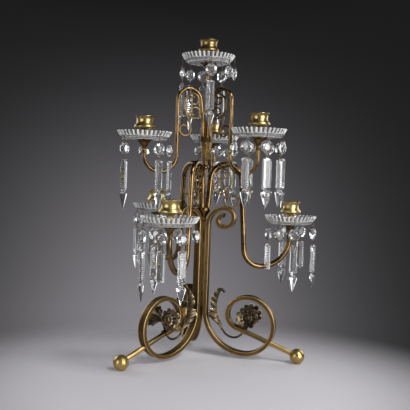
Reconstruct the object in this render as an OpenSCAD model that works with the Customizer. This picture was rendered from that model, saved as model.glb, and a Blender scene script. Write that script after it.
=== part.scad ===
// Seven light girandole: three brass bar legs with ball feet, six scrolled tube arms,
// cut glass drip pans and hanging crystal pendants.
// Millimetres, Z up, origin on the floor under the stem.

/* [Turning] */
// Direction of the back leg seen from above, degrees
leg_turn = 105; // [60:0.5:140]
// Direction of the back upper arm, degrees
upper_turn = 81.7; // [40:0.1:120]
// Direction of the rear left lower arm before its own set, degrees
lower_turn = 131.5; // [90:0.1:170]
// Set of the rear left lower arm out of the even spacing, degrees
back_set = -6.8; // [-12:0.5:12]

/* [Legs] */
// Width of the flat leg bar across the scroll
bar_w = 14; // [10:0.5:20]
// Thickness of the flat leg bar
bar_t = 6.75; // [3:0.25:8]
// Distance from the stem axis to the middle of a leg bar
bar_r = 9.6; // [8:0.1:14]
// Radius of the sweep from the stem to the floor
sweep_r = 69; // [55:0.5:85]
// Radius of the outer rising turn of the foot scroll
rise_r = 48; // [40:0.5:60]
// Gap between the foot scroll and the floor
scroll_gap = 4.3; // [2:0.1:10]
// Height where the top volute starts to bend
volute_z = 221.6; // [180:0.2:260]
// Radius of the first bend of the top volute
volute_r = 28; // [20:0.5:36]
// Diameter of the foot rod
rod_d = 8; // [6:0.2:12]
// Slope of the foot rod below level, degrees
rod_slope = 20.5; // [12:0.5:26]
// Diameter of the ball feet
ball_d = 24.4; // [16:0.5:34]
// Depth of the small flat under each ball
ball_flat = 0.3; // [0.1:0.1:1.5]

/* [Leaves and flowers] */
// Thickness of the leaf and its tendril
leaf_t = 2.4; // [1.5:0.1:4]
// Width of the tendril
tendril_w = 4.4; // [3:0.2:8]
// Angle by which each half of the leaf folds back to the stem
leaf_fold = 56; // [20:1:60]
// Radius of a flower face
flower_r = 18.6; // [12:0.2:24]
// Depth of a flower cup
flower_h = 19; // [12:0.5:26]
// Number of petals on a flower
petals = 10; // [6:1:14]
// Lift of each flower above level, degrees
flower_lift = 14; // [0:1:45]
// Length of the flower stalk
stalk_l = 19; // [12:0.5:28]

/* [Stem] */
// Height of the top face of the arm socket
socket_z = 250; // [220:0.2:280]
// Radius of the arm socket at its top face
socket_r = 12; // [11.6:0.1:18]
// Depth of the holes that take the arms
arm_seat = 5.2; // [3:0.2:8]
// Height of the cornet's top face
cornet_z = 369.2; // [340:0.2:400]
// Radius of the cornet at its top face
cornet_r = 9.6; // [9.4:0.1:14]
// Height of the cornet's underside
cornet_base = 313; // [300:0.5:330]
// Diameter of the thick lower part of the centre rod
core_rod_d = 6; // [4.6:0.2:6.4]
// Diameter of the thin upper part of the centre rod
top_rod_d = 4.2; // [3:0.1:4.3]

/* [Arms] */
// Diameter of the lower arm tube
low_d = 7.4; // [5:0.1:7.6]
// Diameter of the upper arm tube
up_d = 5.4; // [4:0.1:5.6]
// Distance of a lower arm's root from the axis
low_root = 7; // [6.8:0.1:8]
// Distance of an upper arm's root from the axis
up_root = 5.4; // [5.2:0.1:5.6]
// Reach of the lower pans from the axis
low_reach = 154; // [120:0.5:180]
// Radius of a lower arm's first bend, at the foot of its fall
low_bend = 31; // [24:0.5:40]
// Straight length of a lower arm under its cup
low_stem = 6.6; // [4:0.2:12]
// Reach of the upper pans from the axis
up_reach = 107.2; // [90:0.4:130]
// Height of the lower pans' undersides
low_z = 227.4; // [215:0.2:260]
// Height of the upper pans' undersides
up_z = 362.6; // [350:0.2:380]
// Depth below an upper pan at which its arm starts to bend up
up_drop = 27.4; // [22:0.2:36]
// Height of the top pan's underside
top_z = 490.8; // [480:0.2:520]

/* [Scroll strips] */
// Thickness of the ornament strip
strip_t = 1.8; // [1.2:0.1:3]
// Width of the ornament strip
strip_w = 3.2; // [2:0.1:5]

/* [Pans and sockets] */
// Height of a pan cup
cup_h = 20.8; // [16:0.2:26]
// Radius of a pan cup's top face
cup_r = 14; // [10:0.5:20]
// Radius of a glass pan at the rim
pan_r = 44.5; // [40:0.5:52]
// Radius of a glass pan underneath
pan_foot_r = 35; // [30:0.5:38]
// Height of a glass pan
pan_h = 14; // [10:0.5:18]
// Thickness of the glass
glass_t = 3.4; // [2.4:0.1:5]
// Number of cut flutes around a pan
flutes = 36; // [16:1:40]
// Bore of a candle socket
candle_d = 22.4; // [20:0.1:23]
// Depth of a candle socket
candle_depth = 17; // [12:0.5:18]
// Height of a candle socket's lip above the pan's underside
nozzle_h = 38.6; // [38:0.2:44]
// Diameter of the spigot under a candle socket
spigot_d = 6; // [4:0.2:8]

/* [Pendants] */
// Distance of the hanging eyes from the pan's axis
hang_r = 44.8; // [42:0.1:50]
// Depth of the hanging eyes under the middle of the pan
hang_drop = 13; // [10:0.1:20]
// Radius of a hanging eye
eye_r = 2.6; // [2:0.1:4]
// Diameter of the hook wire
wire_d = 1; // [0.6:0.1:1.4]
// Width of the octagon crystal
octagon_w = 18; // [14:0.2:22]
// Height of the octagon crystal
octagon_h = 19; // [14:0.2:24]
// Thickness of the octagon crystal
octagon_t = 7; // [4:0.2:9]
// Length of the spear crystal
spear_l = 78; // [60:1:95]
// Width of the spear crystal
spear_w = 12.4; // [8:0.2:16]
// Thickness of the spear crystal
spear_t = 7.2; // [4:0.2:10]
// Gap between the octagon and the spear
link_gap = 8; // [5:0.2:12]
// Length left of a spear that has lost its point
broken_l = 46; // [20:1:52]

/* [Fits] */
// Radial clearance between a rod or wire and its hole
fit = 0.05; // [0.03:0.01:0.2]
// Braze gap between an ornament's bead and the arm tube
braze = 0.2; // [0.1:0.05:0.5]

/* [Hidden] */
$fn = 64;
rod_r = rod_d / 2;
ball_r = ball_d / 2;
ball_z = ball_r - ball_flat;
bar_in = bar_r - bar_t / 2;
bar_out = bar_r + bar_t / 2;
bar_low = scroll_gap + bar_t / 2;
split_z = bar_low + sweep_r;
inner_l = 17;
seam = 0.03;
stub = 0.6;
wire_r = wire_d / 2;
pan_mid = pan_h / 2;
hook_z = pan_mid + 3.5;
hole_up = 0.34;
octagon_top = 1.9;
foot_path = [[sweep_r, 90], [rise_r, 90], [48.5, 60], [38, 80], [24.5, 130 - rod_slope],
  [0, inner_l]];
volute_path = [[0, volute_z - split_z], [volute_r, -90], [15.8, -180], [11.5, -90], [8, -110]];
foot_start = [bar_r, split_z];
rod_start = path_end(foot_start, -90, foot_path, 6);
rod_dir = [cos(rod_slope), -sin(rod_slope)];
rod_l = (rod_start[1] - ball_z) / sin(rod_slope);
ball_x = rod_start[0] + rod_l * rod_dir[0];
seat_mid = rod_start - 5 * rod_dir;
seat_up = [sin(rod_slope), cos(rod_slope)];
seat_top = seat_mid + bar_t / 2 * seat_up;
seat_under = seat_mid - bar_t / 2 * seat_up;
leaf_path = [[18, -55], [30, -93], [0, 41], [6.5, -130]];
leaf_start = seat_under + [0.6, 0.9];
leaf_x = path_end(leaf_start, 235, leaf_path, 2)[0];
leaf_pin_r = 2.8;
leaf_pin_z = split_z + leaf_pin_r + 0.7;

// Lobes down one half of a leaf: distance from the midrib, height and radius
leaf_lobes = [[4.6, 55, 5.6], [6.4, 64, 6], [6.2, 74, 5.6], [4.6, 87, 5], [3.2, 96, 4.4],
  [2, 105, 3.8]];
low_lean = 86;
low_fall = -86;
low_arch = 27;
low_start = [low_root, socket_z - arm_seat];
low_over = [[0, 54], [low_arch, low_fall - low_lean]];
low_hub = arc_c(path_end(low_start, low_lean, low_over, 1), low_lean, low_over[1]);
low_top = path_end(low_start, low_lean, low_over, 2);
low_out = low_reach - low_top[0];
low_down = low_top[1] - low_z + cup_h + low_stem;
low_run = (low_down + low_out - low_bend * (1 - cos(low_fall) - sin(low_fall)))
  / (cos(low_fall) - sin(low_fall));
low_rise = low_out - low_run * cos(low_fall) + low_bend * sin(low_fall);
low_path = concat(low_over, [[0, low_run], [low_bend, -low_fall], [low_rise, 90]]);
low_end = path_end(low_start, low_lean, low_path, 5);
up_start = [up_root, cornet_z - 5];
up_arch = [[0, 22.6], [80, -8], [0, 32], [20.4, -172]];
up_fall = path_end(up_start, 90, up_arch, 4)[1] - up_z + up_drop;
up_a = concat(up_arch, [[0, up_fall]]);
up_hub = arc_c(path_end(up_start, 90, up_a, 3), 82, up_a[3]);
up_u = path_end(up_start, 90, up_a, 5);
up_path = concat(up_a, [[(up_reach - up_u[0]) / 2, 180]]);
up_end = path_end(up_start, 90, up_path, 6);
tier = [0, 1, 1, 1, 2, 2, 2];
lift = [0, 0, -4.4, 4.2, 7, 0, -2.6];
turn_set = [0, 0, 0, 0, back_set, 0, 0];

// Node names, one per piece or set of like pieces

// Hook directions around each pan, degrees
hooks = [[-84, -40, 7, 57, 101, 133, 164], [53, 98, 233, 278, 323], [-53, -21, 60, 96, 231],
  [-77, -37, 35, 63, 104, 147, 241], [105, 150, 240, 285], [29, 78, 123, 213, 258, 298],
  [-87, -34, 20, 57, 99, 210, 239]];

// Paths are lists of [radius, turn] arcs or [0, length] straights in a vertical plane
function arc_c(p, h, s) = p + sign(s[1]) * s[0] * [-sin(h), cos(h)];
function step_p(p, h, s) = s[0] == 0 ? p + s[1] * [cos(h), sin(h)]
  : arc_c(p, h, s) + sign(s[1]) * s[0] * [sin(h + s[1]), -cos(h + s[1])];
function step_h(h, s) = s[0] == 0 ? h : h + s[1];
function path_end(p, h, path, n, i = 0) = i == n ? p
  : path_end(step_p(p, h, path[i]), step_h(h, path[i]), path, n, i + 1);

// Where each pan stands: top, back upper, left upper, right upper, then the lower three
function pan_reach(i) = tier[i] == 0 ? 0 : tier[i] == 1 ? up_reach : low_reach;
function pan_az(i) = tier[i] == 0 ? 0 : tier[i] == 1 ? upper_turn + 120 * (i - 1)
  : lower_turn + turn_set[i] + 120 * (i - 4);
function pan_z(i) = lift[i] + (tier[i] == 0 ? top_z : tier[i] == 1 ? up_z : low_z);

module along(p, h, path, i = 0) {
  if (i < len(path)) {
    s = path[i];
    e = step_p(p, h, s);
    gap = i < len(path) - 1 ? seam : 0;
    if (s[0] == 0)
      translate([p[0], p[1], 0])
        rotate([0, 0, h])
          rotate([90, 0, 90])
            linear_extrude(s[1] - gap)
              children(0);
    else
      translate([arc_c(p, h, s)[0], arc_c(p, h, s)[1], 0])
        rotate([0, 0, s[1] > 0 ? h - 90 : h + 90 + s[1] + gap / s[0] * 180 / PI])
          rotate_extrude(angle = abs(s[1]) - gap / s[0] * 180 / PI)
            translate([s[0], 0])
              children(0);
    if (gap > 0)
      translate([e[0], e[1], 0])
        rotate([0, 0, step_h(h, s)])
          rotate([90, 0, 90])
            linear_extrude(2 * stub, center = true)
              children(1);
    along(e, step_h(h, s), path, i + 1) {
      children(0);
      children(1);
    }
  }
}

module tube(p, h, path, d) {
  along(p, h, path) {
    circle(d = d);
    circle(d = d - 1);
  }
}

module bar(p, h, path, t, w) {
  along(p, h, path) {
    square([t, w], center = true);
    square([t - 0.6, w - 0.6], center = true);
  }
}

module upright(az) {
  rotate([0, 0, az])
    rotate([90, 0, 0])
      children();
}

module each_leg() {
  for (k = [0 : 2])
    rotate([0, 0, leg_turn + 120 * k])
      children();
}

module at_pan(i) {
  rotate([0, 0, pan_az(i)])
    translate([pan_reach(i), 0, pan_z(i)])
      rotate([0, 0, -pan_az(i)])
        children();
}

module on_rod(r, from, to) {
  translate([rod_start[0], 0, rod_start[1]])
    rotate([0, 90 + rod_slope, 0])
      translate([0, 0, from])
        cylinder(r = r, h = to - from);
}

module leg_bars() {
  color([0.55, 0.42, 0.22])
    each_leg()
      difference() {
        rotate([90, 0, 0])
          union() {
            bar(foot_start, -90, foot_path, bar_t, bar_w);
            bar(foot_start, 90, volute_path, bar_t, bar_w);
            translate([foot_start[0], foot_start[1], 0])
              cube([bar_t - 0.6, 2 * stub, bar_w - 0.6], center = true);
          }
        on_rod(rod_r + fit, 25, 60);
      }
}

module foot_rods() {
  color([0.8, 0.62, 0.25])
    each_leg()
      on_rod(rod_r, 0, rod_l - ball_r / 3);
}

module ball_feet() {
  color([0.85, 0.66, 0.28])
    each_leg()
      difference() {
        translate([ball_x, 0, ball_z])
          sphere(r = ball_r);
        on_rod(rod_r + fit, rod_l - 2 * ball_r, rod_l - ball_r / 3);
        translate([ball_x - ball_d, -ball_d, -ball_d])
          cube([2 * ball_d, 2 * ball_d, ball_d]);
      }
}

module leaf_cut() {
  intersection() {
    rotate([90, 0, 0])
      bar(leaf_start, 235, leaf_path, leaf_t, 3 * bar_w);
    rotate([90, 0, 90])
      linear_extrude(100)
        children();
  }
}

module leaf_half(side) {
  translate([leaf_x, 0, 0])
    rotate([0, 0, side * leaf_fold])
      translate([-leaf_x, 0, 0])
        leaf_cut() {
          translate([side * 1.5 - 2, leaf_lobes[0][1]])
            square([4, leaf_lobes[5][1] - leaf_lobes[0][1]]);
          for (q = leaf_lobes)
            translate([side * q[0], q[1]])
              circle(r = q[2]);
        }
}

module leaf_sprays() {
  color([0.5, 0.36, 0.26])
    each_leg()
      difference() {
        union() {
          leaf_cut()
            translate([-tendril_w / 2, 20])
              square([tendril_w, 110]);
          leaf_half(-1);
          leaf_half(1);
          translate([bar_out, 0, leaf_pin_z])
            rotate([0, 90, 0])
              cylinder(r = leaf_pin_r, h = leaf_x - bar_out + 0.6);
        }
        translate([seat_mid[0], 0, seat_mid[1]])
          rotate([0, rod_slope, 0])
            cube([30, 20, bar_t], center = true);
      }
}

module flower() {
  intersection() {
    rotate_extrude()
      polygon([[0, 0], [3, 0], [5.6, 4], [9, flower_h - 8], [13.6, flower_h - 3.4],
        [flower_r, flower_h - 1.6], [flower_r, flower_h], [13, flower_h - 1.4],
        [8, flower_h - 5.6], [5, flower_h - 5.2], [4, flower_h - 3.4], [2, flower_h - 2.4],
        [0, flower_h - 2.2]]);
    linear_extrude(flower_h)
      union() {
        circle(r = flower_r - 4);
        for (k = [0 : petals - 1])
          rotate(360 / petals * k)
            translate([flower_r - 4.8, 0])
              circle(r = 4.8);
      }
  }
}

module flower_pairs() {
  color([0.48, 0.36, 0.24])
    each_leg()
      translate([seat_top[0], 0, seat_top[1]])
        rotate([0, rod_slope, 0])
          union() {
            cylinder(r = 3, h = stalk_l);
            translate([0, 0, stalk_l])
              sphere(r = 4.6);
            for (m = [-1, 1])
              translate([0, 0, stalk_l])
                rotate([m * (90 - flower_lift), 0, 0])
                  translate([0, 0, 2])
                    flower();
          }
}

module stem_core() {
  color([0.3, 0.23, 0.13])
    rotate([0, 0, leg_turn])
      translate([0, 0, split_z + 6])
        intersection() {
          cylinder(r = 9.2, h = 144);
          rotate([0, 0, 60])
            cylinder(r = 2 * bar_in, h = 144, $fn = 3);
        }
}

module arm_socket() {
  core_top = split_z + 150;
  color([0.45, 0.34, 0.18])
    difference() {
      rotate_extrude()
        polygon([[0, core_top], [5.4, core_top], [6, core_top + 1.4], [5.4, core_top + 2.8],
          [4.6, core_top + 3.6], [5, socket_z - 16], [9, socket_z - 10],
          [socket_r - 0.4, socket_z - 6.4], [socket_r, socket_z - 5], [socket_r, socket_z - 0.8],
          [socket_r - 0.6, socket_z], [0, socket_z]]);
      for (k = [0 : 2])
        rotate([0, 0, pan_az(4 + k)])
          translate([low_root, 0, socket_z - arm_seat])
            rotate([0, 90 - low_lean, 0])
              cylinder(r = low_d / 2 + fit, h = 20);
      translate([0, 0, socket_z - 12])
        cylinder(r = core_rod_d / 2 + fit, h = 20);
    }
}

module centre_rod() {
  color([0.6, 0.45, 0.2])
    union() {
      translate([0, 0, socket_z - 12])
        cylinder(d = core_rod_d, h = cornet_base - socket_z + 12);
      translate([0, 0, cornet_base])
        cylinder(d = top_rod_d, h = top_z - cup_h - cornet_base);
    }
}

module cornet() {
  color([0.5, 0.36, 0.18])
    difference() {
      rotate_extrude()
        polygon([[0, cornet_base], [3.6, cornet_base], [6.2, cornet_base + 2],
          [6.8, cornet_base + 4.4], [6, cornet_base + 7], [4.2, cornet_base + 9],
          [4.4, cornet_base + 14], [cornet_r - 0.8, cornet_z - 8], [cornet_r - 0.6, cornet_z - 2.4],
          [cornet_r, cornet_z - 1.6], [cornet_r, cornet_z], [0, cornet_z]]);
      translate([0, 0, cornet_base - 1])
        cylinder(r = top_rod_d / 2 + fit, h = cornet_z - cornet_base + 2);
      for (k = [0 : 2])
        rotate([0, 0, pan_az(1 + k)])
          translate([up_root, 0, up_start[1]])
            cylinder(r = up_d / 2 + fit, h = 10);
    }
}

module lower_arm(i) {
  upright(pan_az(i))
    tube(low_start, low_lean, concat(low_path, [[0, pan_z(i) - cup_h - low_end[1]]]), low_d);
}

module upper_arm(i) {
  upright(pan_az(i))
    tube(up_start, 90, concat(up_path, [[0, pan_z(i) - cup_h - up_end[1]]]), up_d);
}

module lower_arms() {
  color([0.6, 0.45, 0.22])
    for (i = [4 : 6])
      lower_arm(i);
}

module upper_arms() {
  color([0.62, 0.46, 0.22])
    for (i = [1 : 3])
      upper_arm(i);
}

module scroll_strip(p, up, down, tail_p, tail_h, tail, bead) {
  rotate([90, 0, 0])
    union() {
      bar(p, 90, up, strip_t, strip_w);
      bar(p, -90, down, strip_t, strip_w);
      translate([p[0], p[1], 0])
        cube([strip_t - 0.6, 2 * stub, strip_w - 0.6], center = true);
      bar(tail_p, tail_h, tail, strip_t, strip_w);
      translate([bead[0], bead[1], 0])
        sphere(r = bead[2]);
    }
}

module upper_scrolls() {
  b = up_a[3][0] - up_d / 2 - 2.6 - braze;
  color([0.66, 0.5, 0.26])
    for (i = [1 : 3])
      rotate([0, 0, pan_az(i)])
        scroll_strip(up_hub + [8.6, -3.9], [[17, 70], [10, 100], [8.3, 170], [5, 150]],
          [[0, 4], [22, -65], [10, -115], [8.5, -170], [5, -120]],
          up_hub + [6.8, -16.9], 250, [[0, 29], [10.2, 200], [7, 180]],
          [up_hub[0] - 0.31 * b, up_hub[1] + 0.951 * b, 2.6]);
}

module lower_scrolls() {
  b = low_arch - low_d / 2 - 3 - braze;
  color([0.62, 0.46, 0.24])
    for (i = [4 : 6])
      rotate([0, 0, pan_az(i)])
        scroll_strip(low_hub + [8.8, 1.1], [[19, 70], [10.2, 100], [8.6, 170], [5.4, 150]],
          [[0, 2], [24, -65], [11, -115], [9, -170], [5.4, -120]],
          low_hub + [7.4, -9.9], 245, [[0, 20], [13.4, 195], [8.4, 180]],
          [low_hub[0] - 0.22 * b, low_hub[1] + 0.976 * b, 3]);
}

module pan_cup() {
  difference() {
    rotate_extrude()
      polygon([[0, 0], [4.2, 0], [5, 0.8], [5, 2.4], [4.2, 3.2], [3.7, 4.2], [3.7, 6.2],
        [4.2, 8.6], [5.2, 11.4], [7, 14.6], [9.6, 17.4], [12.4, cup_h - 2], [cup_r - 0.2, cup_h - 1.2],
        [cup_r, cup_h - 0.6], [cup_r, cup_h], [0, cup_h]]);
    translate([0, 0, cup_h - 9])
      cylinder(r = spigot_d / 2 + fit, h = 10);
  }
}

module pan_cups() {
  color([0.55, 0.41, 0.2])
    for (i = [0 : 6])
      at_pan(i)
        translate([0, 0, -cup_h])
          pan_cup();
}

module glass_pan(i) {
  difference() {
    intersection() {
      rotate_extrude()
        polygon([[spigot_d / 2 + fit, 0], [pan_foot_r, 0], [pan_r, pan_h - 1.4], [pan_r, pan_h],
          [pan_r - 2.4, pan_h], [pan_foot_r - 1.4, glass_t], [spigot_d / 2 + fit, glass_t]]);
      linear_extrude(pan_h)
        difference() {
          circle(r = pan_r + 1);
          for (k = [0 : flutes - 1])
            rotate(360 / flutes * (k + 0.5))
              translate([pan_r + 3, 0])
                circle(r = 4.4);
        }
    }
    for (a = hooks[i])
      rotate([0, 0, a])
        translate([pan_foot_r - 4, 0, hook_z])
          rotate([0, 90, 0])
            cylinder(r = wire_r + fit, h = 20);
  }
}

module glass_pans() {
  color([0.85, 0.9, 0.93, 0.6])
    for (i = [0 : 6])
      at_pan(i)
        glass_pan(i);
}

module candle_socket() {
  difference() {
    rotate_extrude()
      polygon([[0, -5], [spigot_d / 2, -5], [spigot_d / 2, glass_t], [6.4, glass_t], [6.4, 5.4],
        [5.6, 8], [5.6, 13], [6.6, 15.6], [10, 18], [14.6, 19.4], [16, 20.4], [16, 21.8],
        [15, 23.2], [13.4, 25], [12.7, 27.4], [12.7, nozzle_h - 8], [13.4, nozzle_h - 5],
        [15, nozzle_h - 2.2], [16.2, nozzle_h - 1], [16.2, nozzle_h], [0, nozzle_h]]);
    translate([0, 0, nozzle_h - candle_depth])
      cylinder(d = candle_d, h = candle_depth + 1);
  }
}

module candle_sockets() {
  color([0.8, 0.65, 0.22])
    for (i = [0 : 6])
      at_pan(i)
        candle_socket();
}

module hook() {
  translate([hang_r, 0, pan_mid - hang_drop])
    rotate([90, 0, 0])
      rotate_extrude()
        translate([eye_r, 0])
          circle(r = wire_r, $fn = 24);
  translate([hang_r, 0, pan_mid - hang_drop + eye_r])
    cylinder(r = wire_r, h = hook_z - pan_mid + hang_drop - eye_r);
  translate([hang_r, 0, hook_z])
    sphere(r = wire_r, $fn = 24);
  translate([pan_foot_r, 0, hook_z])
    rotate([0, 90, 0])
      cylinder(r = wire_r, h = hang_r - pan_foot_r);
  translate([pan_foot_r, 0, hook_z])
    sphere(r = 2 * wire_r, $fn = 24);
}

module pendant_hooks() {
  color([0.4, 0.36, 0.3])
    for (i = [0 : 6])
      at_pan(i)
        for (a = hooks[i])
          rotate([0, 0, a])
            hook();
}

function ring8(w, h, y) = [for (k = [0 : 7]) [w / 2 * cos(22.5 + 45 * k) / cos(22.5), y,
  h / 2 * sin(22.5 + 45 * k) / cos(22.5)]];
function ring6(s, z) = [for (q = [[1, 0], [0.5, 1], [-0.5, 1], [-1, 0], [-0.5, -1], [0.5, -1]])
  [q[0] * s * spear_w / 2, q[1] * s * spear_t / 2, z]];
function skin(n, m) = concat([[for (k = [n - 1 : -1 : 0]) k]],
  [for (j = [0 : m - 2]) for (k = [0 : n - 1]) [j * n + k, j * n + (k + 1) % n,
  (j + 1) * n + (k + 1) % n, (j + 1) * n + k]],
  [[for (k = [0 : n - 1]) (m - 1) * n + k]]);

module octagon() {
  polyhedron(concat(ring8(octagon_w * 0.56, octagon_h * 0.56, -octagon_t / 2),
    ring8(octagon_w, octagon_h, -0.6), ring8(octagon_w, octagon_h, 0.6),
    ring8(octagon_w * 0.56, octagon_h * 0.56, octagon_t / 2)), skin(8, 4));
}

module spear(l, broken) {
  polyhedron(broken
    ? concat(ring6(0.72, 0), ring6(1, -3), ring6(1, -l + 3), ring6(0.6, -l))
    : concat(ring6(0.72, 0), ring6(1, -3), ring6(1, -0.58 * l), ring6(0.6, -0.635 * l),
      ring6(1.12, -0.7 * l), ring6(0.06, -l)), skin(6, broken ? 4 : 6));
}

module pendant(i, k, kind) {
  octagon_z = -eye_r + hole_up + octagon_top - octagon_h / 2;
  color([0.88, 0.93, 0.96, 0.6])
    at_pan(i)
      rotate([0, 0, hooks[i][k]])
        translate([hang_r, 0, pan_mid - hang_drop])
          rotate([0, 0, 90]) {
            difference() {
              translate([0, 0, octagon_z])
                octagon();
              translate([0, 0, hole_up - eye_r])
                rotate([90, 0, 0])
                  cylinder(r = 1.25, h = 20, center = true);
              if (kind > 1)
                translate([0, 0, octagon_z - octagon_h / 2 - 1])
                  cylinder(r = wire_r + fit, h = 4);
            }
            if (kind > 1) {
              translate([0, 0, octagon_z - octagon_h / 2 - link_gap - 3])
                cylinder(r = wire_r, h = link_gap + 6);
              difference() {
                translate([0, 0, octagon_z - octagon_h / 2 - link_gap])
                  spear(kind == 3 ? broken_l : spear_l, kind == 3);
                translate([0, 0, octagon_z - octagon_h / 2 - link_gap - 3])
                  cylinder(r = wire_r + fit, h = 6);
              }
            }
          }
}

leg_bars();
foot_rods();
ball_feet();
leaf_sprays();
flower_pairs();
stem_core();
arm_socket();
centre_rod();
cornet();
lower_arms();
upper_arms();
lower_scrolls();
upper_scrolls();
pan_cups();
glass_pans();
candle_sockets();
pendant_hooks();
pendant(0, 0, 2);  // top_pendant_1
pendant(0, 1, 1);  // top_pendant_2
pendant(0, 2, 1);  // top_pendant_3
pendant(0, 3, 2);  // top_pendant_4
pendant(0, 4, 2);  // top_pendant_5
pendant(0, 5, 2);  // top_pendant_6
pendant(0, 6, 2);  // top_pendant_7
pendant(1, 0, 2);  // upper_back_pendant_1
pendant(1, 1, 2);  // upper_back_pendant_2
pendant(1, 2, 2);  // upper_back_pendant_3
pendant(1, 3, 2);  // upper_back_pendant_4
pendant(1, 4, 2);  // upper_back_pendant_5
pendant(2, 0, 2);  // upper_left_pendant_1
pendant(2, 1, 2);  // upper_left_pendant_2
pendant(2, 2, 1);  // upper_left_pendant_3
pendant(2, 3, 1);  // upper_left_pendant_4
pendant(2, 4, 2);  // upper_left_pendant_5
pendant(3, 0, 2);  // upper_right_pendant_1
pendant(3, 1, 2);  // upper_right_pendant_2
pendant(3, 2, 2);  // upper_right_pendant_3
pendant(3, 3, 2);  // upper_right_pendant_4
pendant(3, 4, 2);  // upper_right_pendant_5
pendant(3, 5, 1);  // upper_right_pendant_6
pendant(3, 6, 2);  // upper_right_pendant_7
pendant(4, 0, 2);  // lower_back_pendant_1
pendant(4, 1, 2);  // lower_back_pendant_2
pendant(4, 2, 2);  // lower_back_pendant_3
pendant(4, 3, 2);  // lower_back_pendant_4
pendant(5, 0, 1);  // lower_front_pendant_1
pendant(5, 1, 1);  // lower_front_pendant_2
pendant(5, 2, 2);  // lower_front_pendant_3
pendant(5, 3, 2);  // lower_front_pendant_4
pendant(5, 4, 3);  // lower_front_pendant_5
pendant(5, 5, 2);  // lower_front_pendant_6
pendant(6, 0, 2);  // lower_right_pendant_1
pendant(6, 1, 2);  // lower_right_pendant_2
pendant(6, 2, 1);  // lower_right_pendant_3
pendant(6, 3, 3);  // lower_right_pendant_4
pendant(6, 4, 2);  // lower_right_pendant_5
pendant(6, 5, 3);  // lower_right_pendant_6
pendant(6, 6, 1);  // lower_right_pendant_7
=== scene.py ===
import math
import bpy
from mathutils import Matrix, Vector


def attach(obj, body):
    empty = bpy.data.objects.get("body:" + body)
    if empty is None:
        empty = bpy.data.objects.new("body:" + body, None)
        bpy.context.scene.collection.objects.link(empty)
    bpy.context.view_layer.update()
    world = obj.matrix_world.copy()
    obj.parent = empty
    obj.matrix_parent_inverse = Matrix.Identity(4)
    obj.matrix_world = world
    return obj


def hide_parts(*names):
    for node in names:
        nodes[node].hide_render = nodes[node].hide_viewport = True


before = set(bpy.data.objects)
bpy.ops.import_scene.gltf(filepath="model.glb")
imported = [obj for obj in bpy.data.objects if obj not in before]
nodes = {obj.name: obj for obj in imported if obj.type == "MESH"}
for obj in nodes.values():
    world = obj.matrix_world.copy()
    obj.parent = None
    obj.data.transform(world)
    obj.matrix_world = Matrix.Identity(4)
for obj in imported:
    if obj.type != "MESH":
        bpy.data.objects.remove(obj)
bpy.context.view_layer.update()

mm = 0.001
print("frame loaded,", len(nodes), "CAD nodes")


# camera of the photograph, image taken as 410 x 410
photoView = {"focal": 710.06, "image": 410, "sensor": 36, "target": (2.45, 0, 253.6),
             "distance": 1200, "pitch": 2.53, "roll": 1.94, "near": 10}


def setCamera(v):
    data = bpy.data.cameras.new("photoCamera")
    data.sensor_width = v["sensor"]
    data.lens = v["sensor"] * v["focal"] / v["image"]
    data.clip_start = v["near"] * mm
    camera = bpy.data.objects.new("photoCamera", data)
    bpy.context.scene.collection.objects.link(camera)
    pitch = math.radians(v["pitch"])
    x, y, z = v["target"]
    place = (x, y - v["distance"] * math.cos(pitch), z + v["distance"] * math.sin(pitch))
    camera.matrix_world = (Matrix.Translation([c * mm for c in place])
                           @ Matrix.Rotation(math.pi / 2 - pitch, 4, "X")
                           @ Matrix.Rotation(math.radians(v["roll"]), 4, "Z"))
    bpy.context.scene.camera = camera


setCamera(photoView)


# shader maths
class Signal:
    def __init__(self, tree, socket=None):
        self.tree = tree
        self.socket = socket

    def add(self, kind, settings=None, inputs=None, out=0):
        node = self.tree.nodes.new(kind)
        for key, value in (settings or {}).items():
            if key == "stops":
                ramp = node.color_ramp
                while len(ramp.elements) < len(value):
                    ramp.elements.new(0.5)
                for stop, (place, colour) in zip(ramp.elements, value):
                    stop.position = place
                    stop.color = (*colour, 1)
            else:
                setattr(node, key, value)
        for key, value in (inputs or {}).items():
            if isinstance(value, Signal):
                self.tree.links.new(value.socket, node.inputs[key])
            else:
                node.inputs[key].default_value = value
        return Signal(self.tree, node.outputs[out])

    def maths(self, operation, *values):
        return self.add("ShaderNodeMath", {"operation": operation}, dict(enumerate(values)))

    def __add__(self, other):
        return self.maths("ADD", self, other)

    __radd__ = __add__

    def __sub__(self, other):
        return self.maths("SUBTRACT", self, other)

    def __rsub__(self, other):
        return self.maths("SUBTRACT", other, self)

    def __mul__(self, other):
        return self.maths("MULTIPLY", self, other)

    __rmul__ = __mul__

    def __pow__(self, other):
        return self.maths("POWER", self, other)

    def __rpow__(self, other):
        return self.maths("POWER", other, self)

    def between(self, low, high):  # smooth 0 to 1 from low to high
        return self.add("ShaderNodeMapRange", {"interpolation_type": "SMOOTHSTEP"},
                        {0: self, 1: low, 2: high, 3: 0.0, 4: 1.0})

    def mixed(self, first, second):  # colours mixed by this value
        return self.add("ShaderNodeMix", {"data_type": "RGBA"},
                        {0: self, 6: first, 7: second}, 2)

    def axes(self):  # the three parts of a vector
        first = self.add("ShaderNodeSeparateXYZ", None, {0: self})
        return [Signal(self.tree, output) for output in first.socket.node.outputs]

    def own(self, name):  # the piece's own attribute
        return self.add("ShaderNodeAttribute", {"attribute_name": name}, out=2)


def colour(c):
    return (*c, 1)


def newFinish(name):
    material = bpy.data.materials.new(name)
    material.use_nodes = True
    tree = material.node_tree
    shader = tree.nodes["Principled BSDF"]
    start = Signal(tree)
    place = start.add("ShaderNodeTexCoord", out=3)  # object coordinates
    return material, shader, place


def link(shader, socket, signal):
    signal.tree.links.new(signal.socket, shader.inputs[socket])


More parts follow.
